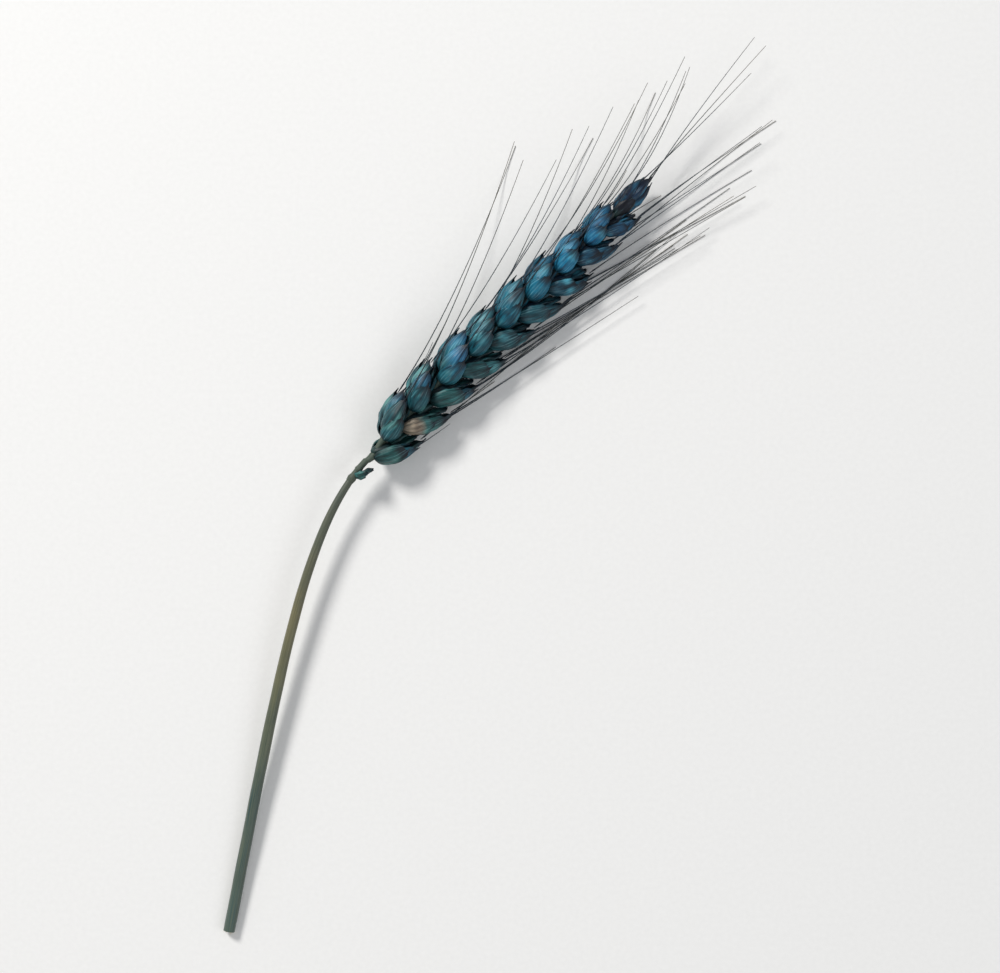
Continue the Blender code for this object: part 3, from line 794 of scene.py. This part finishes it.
def dyed_bristle():
    """Awns and hairs: stiff bristles that took the dye darkly and dried greyer towards their ends."""
    made, tree, shader = new_material("dyed_bristle", 0.45)
    along = node(tree, "Attribute", out=2, attribute_name="along")
    tint = node(tree, "Attribute", out=2, attribute_name="tint")
    cold = ((0, "#0b1a2c"), (0.35, "#182736"), (0.75, "#343f48"), (1, "#525452"))
    warm = ((0, "#10262e"), (0.5, "#353a36"), (1, "#655d4c"))
    cold = node(tree, "ValToRGB", {0: along}, stops=cold)
    warm = node(tree, "ValToRGB", {0: along}, stops=warm)
    colour = node(tree, "Mix", {0: tint, 6: cold, 7: warm}, out=2, data_type="RGBA")
    tree.links.new(colour, shader.inputs["Base Color"])
    return made


def dyed_stem(name, dye, roughness):
    """Ripe stem under an uneven teal dye: a waxy skin with fine ribs, stains and a low gloss."""
    made, tree, shader = new_material(name, roughness)
    along = node(tree, "Attribute", out=2, attribute_name="along")
    around = node(tree, "Attribute", out=2, attribute_name="around")
    place = node(tree, "TexCoord", out=3)
    base = node(tree, "ValToRGB", {0: along}, stops=dye)
    blotch = node(tree, "TexNoise", {"Vector": place, "Scale": 1 / STAIN_SIZE, "Detail": 4})
    stains = node(tree, "Math", {0: blotch, 1: 2.2, 2: -0.9}, operation="MULTIPLY_ADD", use_clamp=True)
    colour = node(tree, "Mix", {0: stains, 6: base, 7: linear("#1f3a3a")}, out=2, data_type="RGBA")
    spot = node(tree, "CombineXYZ", {"X": around, "Y": along})
    spot = node(tree, "Mapping", {"Vector": spot, "Scale": STEM_FIBRES})
    fibres = node(tree, "TexNoise", {"Vector": spot, "Scale": 1, "Detail": 2})
    lines = node(tree, "Math", {0: fibres, 1: 0.9, 2: -0.30}, operation="MULTIPLY_ADD", use_clamp=True)
    colour = node(tree, "Mix", {0: lines, 6: colour, 7: linear("#8f8a66")}, out=2, data_type="RGBA")
    tree.links.new(colour, shader.inputs["Base Color"])
    bump = node(tree, "Bump", {"Height": fibres, "Strength": 0.6, "Distance": FIBRE_RELIEF})
    tree.links.new(bump, shader.inputs["Normal"])
    return made


def dry_pith():
    """The straw's inner skin, cut wall and fibres: pale, dull and a little stringy."""
    made, tree, shader = new_material("dry_pith", 0.8)
    place = node(tree, "TexCoord", out=3)
    grain = node(tree, "TexNoise", {"Vector": place, "Scale": 1 / PITH_GRAIN, "Detail": 3})
    colour = node(tree, "ValToRGB", {0: grain}, stops=((0.3, "#958866"), (0.7, "#c6ba94")))
    tree.links.new(colour, shader.inputs["Base Color"])
    return made


def studio_board():
    """Matt pale board: even, with the faintest tooth."""
    made, tree, shader = new_material("studio_board", 0.9)
    place = node(tree, "TexCoord", out=3)
    grain = node(tree, "TexNoise", {"Vector": place, "Scale": 1 / BOARD_TOOTH, "Detail": 2})
    colour = node(tree, "ValToRGB", {0: grain}, stops=((0.2, "#ededec"), (0.8, "#f1f1f0")))
    tree.links.new(colour, shader.inputs["Base Color"])
    shader.inputs["Specular IOR Level"].default_value = 0.1
    return made


# Pieces of the ear


def palea_of(lemma):
    """The inner husk of a floret, face to face with its lemma."""
    foot = lemma.foot + lemma.size * (PALEA_RISE * lemma.along + PALEA_STANDS_OFF * lemma.back)
    along = math.cos(PALEA_LEAN) * lemma.along - math.sin(PALEA_LEAN) * lemma.back
    back = -math.cos(PALEA_LEAN) * lemma.back - math.sin(PALEA_LEAN) * lemma.along
    return Husk(PALEA, lemma.size, lemma.slim, foot, along, back, back.cross(along))


def make_husks(grown, material):
    """All husks, from the tip down and from the inside of each spikelet out, each laid over the last."""
    names = {GLUME: "glumes", LEMMA: "lemmas", UPPER: "inner_husks", PALEA: "paleas"}
    pieces = {kind: Chaff() for kind in names}
    draw = random.Random(SEED + 1)
    trees = {}
    for n in reversed(range(len(grown))):
        spikelet, husks, _ = grown[n]
        trees[n] = []
        above = [tree for k in (n + 1, n + 2) for tree in trees.get(k, [])]
        for index in reversed(range(len(husks))):
            husk = husks[index]
            lopside = (1 if index % 2 else -1) * draw.uniform(*LOPSIDED)
            chance = BRIGHT_CHANCE_SHARE if draw.random() < BRIGHT_CHANCE else 0
            bright = BRIGHT_HUSKS.get((n, index), chance)
            undyed = (n, index) == UNDYED_HUSK
            wear = Wear(draw.uniform(*PHASES), lopside, draw.random(), undyed, bright)
            trees[n].append(pieces[husk.kind].add_husk(husk, wear, spikelet, trees[n] + above))
            if husk.kind is LEMMA:
                pieces[PALEA].add_husk(palea_of(husk), wear, spikelet, [])
    for kind, name in names.items():
        finish_sheets(pieces[kind], name, material)


def make_stalks(grown, material):
    """The short stalks that the husks grow from, painted dark as painted shade where they show between the
    feet of the husks.
    """
    chaff = Chaff()
    for spikelet, _, _ in grown:
        up, out = spikelet.up, spikelet.out
        start = spikelet.foot - CORE_SUNK * out
        if spikelet.side == 0:
            start = spikelet.foot + TERMINAL_DROP * out - TERMINAL_CORE_SUNK * up
        deep = between(POOLED_DYE_AND_SHADE, spikelet.share)
        ball = bmesh.ops.create_uvsphere(chaff.bm, u_segments=CORE_SIDES, v_segments=CORE_RINGS, radius=0.5)
        for vert in ball["verts"]:
            x, y, z = vert.co
            across = CORE_ROUNDED * CORE_WIDTH * (CORE_FLATNESS * x * out + y * up.cross(out))
            rise = CORE_LENGTH * (z + 0.5) * (up + CORE_LEAN * out)
            vert.co = soft_floor(start + spikelet.size * (across + rise), FLOOR_GAP)
            # Painted shade: the stalks take the pooled dark colour above their lowest end, where they show
            # between the husks
            dye = blend(deep, linear(STALK_DYE), by_rule(STALK_DYED, z + 0.5))
            chaff.mark(vert, (math.atan2(y, x) / math.pi, z + 0.5, 0.5), dye)
    bmesh.ops.recalc_face_normals(chaff.bm, faces=chaff.bm.faces)
    finish("spikelet_stalks", chaff.bm, material)


def tuft_scales():
    point, along, left, _ = axis_frame(COLLAR + TUFT_ABOVE_COLLAR)
    for spread, turn, size in TUFT:
        out = Matrix.Rotation(math.radians(turn), 3, along) @ -left
        up = math.cos(math.radians(spread)) * along + math.sin(math.radians(spread)) * out
        back = (along.dot(up) * up - along).normalized()
        yield Husk(SCALE, size, 1, point - TUFT_SUNK * out, up, back, back.cross(up))


def make_tuft(grown, material):
    chaff = Chaff()
    lowest = grown[0][0]
    draw = random.Random(SEED + 2)
    for husk in tuft_scales():
        wear = Wear(draw.uniform(*PHASES), draw.uniform(-1, 1), draw.random(), False, 0)
        chaff.add_husk(husk, wear, lowest, [])
    finish_sheets(chaff, "tuft_scales", material)


def awn_radius(awn, t):
    """A long taper, thicker where it leaves the husk, and pointed at its root inside the husk."""
    thick = AWN_RADIUS * (1 - AWN_THINNER_UP_EAR * awn.share)
    body = AWN_TIP_RADIUS + (thick - AWN_TIP_RADIUS) * (1 - t) + AWN_FLARE * math.exp(-t / AWN_FLARE_OVER)
    return body * min(1, AWN_ROOT_POINT + t * awn.length / AWN_ROOT_LENGTH)


def awn_point(awn, t):
    knee = AWN_KNEE * awn.length
    end = knee * awn.leaves + (awn.length - knee) * awn.bends
    point = awn.foot + 2 * t * (1 - t) * knee * awn.leaves + t * t * end
    return soft_floor(point, FLOOR_GAP + awn_radius(awn, t))


def awn_frame(awn, t):
    along = (awn_point(awn, t + AWN_LOOK) - awn_point(awn, t - AWN_LOOK)).normalized()
    aside = along.cross(UP).normalized()
    return awn_point(awn, t), along, aside, aside.cross(along)


def round_blank(bm, sides, rings):
    """A closed upright tube of radius 1 and height 1: a grid rolled up, its seam and both ends closed."""
    made = bmesh.ops.create_grid(bm, x_segments=sides, y_segments=rings, size=1)["verts"]
    for vert in made:
        around = math.pi * vert.co.x
        vert.co = Vector((math.cos(around), math.sin(around), (vert.co.y + 1) / 2))
    bmesh.ops.remove_doubles(bm, verts=made, dist=0.001 / rings)
    made = [vert for vert in made if vert.is_valid]
    rims = {edge for vert in made for edge in vert.link_edges if edge.is_boundary}
    bmesh.ops.holes_fill(bm, edges=list(rims))
    return made


def add_hair(bm, layers, foot, way, length, width, values):
    """A three-sided bristle: a thin cone on its foot."""
    aside = way.orthogonal().normalized()
    above = way.cross(aside)
    hair = bmesh.ops.create_cone(bm, cap_ends=True, segments=3, radius1=1, radius2=0, depth=1)["verts"]
    for vert in hair:
        rise = (vert.co.z + 0.5) * length * way
        vert.co = foot + width * (vert.co.x * aside + vert.co.y * above) + rise
        for layer, value in zip(layers, values):
            vert[layer] = value


def make_awns(grown, bristle):
    """The awns, each a thin tube from its husk to its tip, and the barbs along them."""
    bm = bmesh.new()
    barbs = bmesh.new()
    layers = [bm.verts.layers.float.new(name) for name in ("along", "tint")]
    barb_layers = [barbs.verts.layers.float.new(name) for name in ("along", "tint")]
    draw = random.Random(SEED + 3)
    for awn in [awn for _, _, awns in grown for awn in awns if awn]:
        tint = draw.random()
        for vert in round_blank(bm, AWN_SIDES, AWN_PIECES):
            t = vert.co.z
            point, _, aside, above = awn_frame(awn, t)
            vert[layers[0]] = t
            vert[layers[1]] = tint
            vert.co = point + awn_radius(awn, t) * (vert.co.x * aside - vert.co.y * above)
        count = int(awn.length / BARB_PITCH)
        for k in range(BARBS_FROM, count):
            t = (k + draw.uniform(-BARB_STRAYS, BARB_STRAYS)) / count
            point, along, aside, above = awn_frame(awn, t)
            turn = draw.uniform(0, math.tau)
            out = math.cos(turn) * aside + math.sin(turn) * above
            lies = (along + BARB_LEAN * out).normalized()
            foot = point + BARB_SITS * awn_radius(awn, t) * out
            add_hair(barbs, barb_layers, foot, lies, BARB_LENGTH, BARB_WIDTH, (t, tint))
    bmesh.ops.recalc_face_normals(bm, faces=bm.faces)
    bmesh.ops.remove_doubles(barbs, verts=barbs.verts, dist=SAME_POINT)
    bmesh.ops.recalc_face_normals(barbs, faces=barbs.faces)
    finish("awns", bm, bristle)
    finish("awn_barbs", barbs, bristle)


def tube(bm, places, sides, frame_at, section):
    """A closed tube along places. The section gives its reach to the left and to the front at each angle."""
    layers = [bm.verts.layers.float.new(name) for name in ("along", "around")]
    for vert in round_blank(bm, sides, len(places) - 1):
        share = vert.co.z
        place = places[round(share * (len(places) - 1))]
        point, _, left, front = frame_at(place)
        around = math.atan2(vert.co.y, vert.co.x)
        wide, deep = section(place, around)
        reach = wide * math.cos(around) * left + deep * math.sin(around) * front
        vert.co = soft_floor(point + reach, FLOOR_GAP)
        vert[layers[0]] = share
        vert[layers[1]] = abs(around) / math.pi


def make_rachis(stem):
    """The zigzag stalk: each joint is narrow at its foot and flares into the seat of its spikelet."""
    bm = bmesh.new()
    rings = round((RACHIS_LENGTH - RACHIS_STARTS) / RACHIS_RING_PITCH)
    places = [RACHIS_STARTS + k * RACHIS_RING_PITCH for k in range(rings + 1)]

    def frame_at(s):
        _, along, left, front = axis_frame(s)
        return rachis_place(s)[0], along, left, front

    def section(s, around):
        joint = (s - FIRST_NODE) / NODE_PITCH % 1 if s > FIRST_NODE - NODE_PITCH else JOINT_BELOW_FIRST
        flare = 1 + JOINT_FLARE * swell(min(joint, 1 - joint), 0, JOINT_FLARE_OVER)
        ribs = 1 + RACHIS_RIB * math.cos(RACHIS_RIBS * around)
        collar = 1 + COLLAR_SWELL * swell(s, COLLAR + COLLAR_SWELLS_AT, COLLAR_SWELLS_OVER)
        collar *= 1 - FOOT_NARROWS * swell(s, RACHIS_STARTS, FOOT_NARROWS_OVER)
        reach = rachis_place(s)[1] * flare * ribs * collar
        rounded = swell(s, RACHIS_STARTS, FOOT_ROUNDED_OVER)
        wide = RACHIS_WIDE + FOOT_WIDER * rounded
        deep = RACHIS_DEEP - FOOT_SHALLOWER * rounded
        return wide * reach, deep * reach

    tube(bm, places, RACHIS_SIDES, frame_at, section)
    bmesh.ops.recalc_face_normals(bm, faces=bm.faces)
    finish("rachis", bm, stem)


def make_hairs(grown, bristle):
    """Short hairs in a fringe at each joint of the rachis, and bristles up the keels of the glumes."""
    bm = bmesh.new()
    layers = [bm.verts.layers.float.new(name) for name in ("along", "tint")]
    draw = random.Random(SEED + 4)
    for spikelet, husks, _ in grown:
        for _ in range(RACHIS_HAIRS):
            turn = draw.uniform(0, math.tau)
            out = math.cos(turn) * spikelet.front + math.sin(turn) * spikelet.out
            foot = spikelet.foot + RACHIS_HAIR_RING * out - draw.uniform(0, RACHIS_HAIR_BAND) * spikelet.up
            way = (spikelet.up + draw.uniform(*RACHIS_HAIR_LEAN) * out).normalized()
            length = draw.uniform(*RACHIS_HAIR_LENGTH)
            look = (RACHIS_HAIR_ALONG, draw.random())
            add_hair(bm, layers, foot, way, length, RACHIS_HAIR_WIDTH, look)
        for husk in husks[:GLUMES]:
            for _ in range(KEEL_BRISTLES):
                t = draw.uniform(*KEEL_BRISTLES_SIT)
                keel = (husk.kind.depth + husk.kind.keel) * fullness(husk.kind, t)
                foot = husk_middle(husk, t) + husk.size * (keel * husk.back)
                strays = draw.uniform(-KEEL_BRISTLE_STRAYS, KEEL_BRISTLE_STRAYS)
                way = (husk.along + KEEL_BRISTLE_LEAN * husk.back + strays * husk.across).normalized()
                length = draw.uniform(*KEEL_BRISTLE_LENGTH)
                look = (KEEL_BRISTLE_ALONG, draw.random())
                add_hair(bm, layers, foot, way, length, KEEL_BRISTLE_WIDTH, look)
    bmesh.ops.remove_doubles(bm, verts=bm.verts, dist=SAME_POINT)
    bmesh.ops.recalc_face_normals(bm, faces=bm.faces)
    finish("hairs", bm, bristle)


def straw_radius(s):
    narrowing = math.exp((s - STRAW_TOP) / STRAW_THICKENS_OVER)
    return STRAW_RADIUS_CUT + (STRAW_RADIUS_NECK - STRAW_RADIUS_CUT) * narrowing


def straw_section(s, around):
    """The straw's reach: fine ribs that wander round it, flattened sides, and waves and dents from drying."""
    wander = STRAW_RIBS_WANDER * math.sin(s / STRAW_RIBS_WANDER_OVER)
    ribs = 1 + STRAW_RIB * math.cos(STRAW_RIBS * around + wander)
    ribs += STRAW_SIDE * math.cos(STRAW_FLAT_SIDES * around)
    dents = math.sin(s / STRAW_DENTS_OVER + STRAW_DENTS_TURN * math.cos(around))
    waves = 1 + STRAW_WAVE * math.sin(s / STRAW_WAVES_OVER) + STRAW_DENT * dents
    reach = straw_radius(s) * ribs * waves
    return reach, reach


def make_straw(skin, pith):
    """The culm: a ribbed skin, and a bore that runs up from the cut between pale walls."""
    length = STRAW_LENGTH + STRAW_TOP
    rings = round(length / STRAW_RING_PITCH)
    places = [-STRAW_LENGTH + length * k / rings for k in range(rings + 1)]
    bm = bmesh.new()
    tube(bm, places, STRAW_SIDES, axis_frame, straw_section)
    skin_faces = set(bm.faces)
    ends = [face for face in bm.faces if len(face.verts) > 4]
    middle = axis_point(-STRAW_LENGTH)
    cut = min(ends, key=lambda face: (face.calc_center_median() - middle).length)
    skin_faces.discard(cut)
    for s in [s for s in places if s < LUMEN_STOPS_AT][::BORE_RINGS_APART]:
        cut = bmesh.ops.extrude_discrete_faces(bm, faces=[cut])["faces"][0]
        point, along, _, _ = axis_frame(s)
        for vert in cut.verts:
            out = vert.co - middle
            out = (out - out.dot(along) * along).normalized()
            vert.co = point + LUMEN_SHARE * straw_radius(s) * out
        middle = point
    for face in bm.faces:
        face.material_index = 0 if face in skin_faces else 1
    bmesh.ops.recalc_face_normals(bm, faces=bm.faces)
    piece = finish("straw_wall", bm, skin, replaced="straw", sharp=STRAW_SHARP)
    piece.data.materials.append(pith)
    tear_fibres(pith)


def tear_fibres(pith):
    """A few fibres that the cut left standing on the straw's wall."""
    bm = bmesh.new()
    draw = random.Random(SEED + 5)
    point, along, left, front = axis_frame(-STRAW_LENGTH)
    for _ in range(STRAW_FIBRES):
        turn = draw.uniform(0, math.tau)
        out = math.cos(turn) * left + math.sin(turn) * front
        foot = point + draw.uniform(*FIBRE_SITS) * STRAW_RADIUS_CUT * out + FIBRE_SUNK * along
        way = draw.uniform(*FIBRE_LEAN) * out + draw.uniform(-FIBRE_STRAYS, FIBRE_STRAYS) * left - along
        add_hair(bm, (), foot, way.normalized(), draw.uniform(*FIBRE_LENGTH), FIBRE_WIDTH, ())
    bmesh.ops.recalc_face_normals(bm, faces=bm.faces)
    finish("straw_fibres", bm, pith, replaced="straw")


def area_light(name, place, size, power, colour):
    data = bpy.data.lights.new(name, "AREA")
    data.shape = "DISK"
    data.size = size
    data.energy = power
    data.color = colour
    lamp = bpy.data.objects.new(name, data)
    bpy.context.scene.collection.objects.link(lamp)
    lamp.location = place
    lamp.rotation_euler = (-Vector(place)).to_track_quat("-Z", "Y").to_euler()


def make_studio():
    """A pale board, soft light from three sides, and the camera that looks straight down."""
    bm = bmesh.new()
    bmesh.ops.create_grid(bm, x_segments=2, y_segments=2, size=FLOOR_HALF)
    bmesh.ops.translate(bm, verts=bm.verts, vec=(0, 0, -FLOOR_DROP))
    mesh = bpy.data.meshes.new("studio_floor")
    bm.to_mesh(mesh)
    bm.free()
    mesh.materials.append(studio_board())
    floor = bpy.data.objects.new("studio_floor", mesh)
    bpy.context.scene.collection.objects.link(floor)
    world = bpy.data.worlds.new("studio_air")
    world.use_nodes = True
    world.node_tree.nodes["Background"].inputs["Color"].default_value = linear(AIR_COLOUR)
    world.node_tree.nodes["Background"].inputs["Strength"].default_value = AIR_STRENGTH
    bpy.context.scene.world = world
    for lamp in LAMPS:
        area_light(*lamp)
    data = bpy.data.cameras.new("camera")
    data.lens = CAMERA_LENS
    data.sensor_width = CAMERA_SENSOR
    data.clip_start = CAMERA_CLIP
    camera = bpy.data.objects.new("camera", data)
    bpy.context.scene.collection.objects.link(camera)
    camera.location = (0, 0, CAMERA_HEIGHT)
    bpy.context.scene.camera = camera
    bpy.context.scene.view_settings.view_transform = "Standard"


def make_scene():
    grown = grow_ear()
    chaff = dyed_chaff()
    make_husks(grown, chaff)
    make_stalks(grown, chaff)
    make_tuft(grown, chaff)
    bristle = dyed_bristle()
    make_awns(grown, bristle)
    make_hairs(grown, bristle)
    make_rachis(dyed_stem("dyed_stalk", RACHIS_DYE, 0.6))
    make_straw(dyed_stem("dyed_straw_skin", STRAW_DYE, 0.42), dry_pith())
    make_studio()


make_scene()
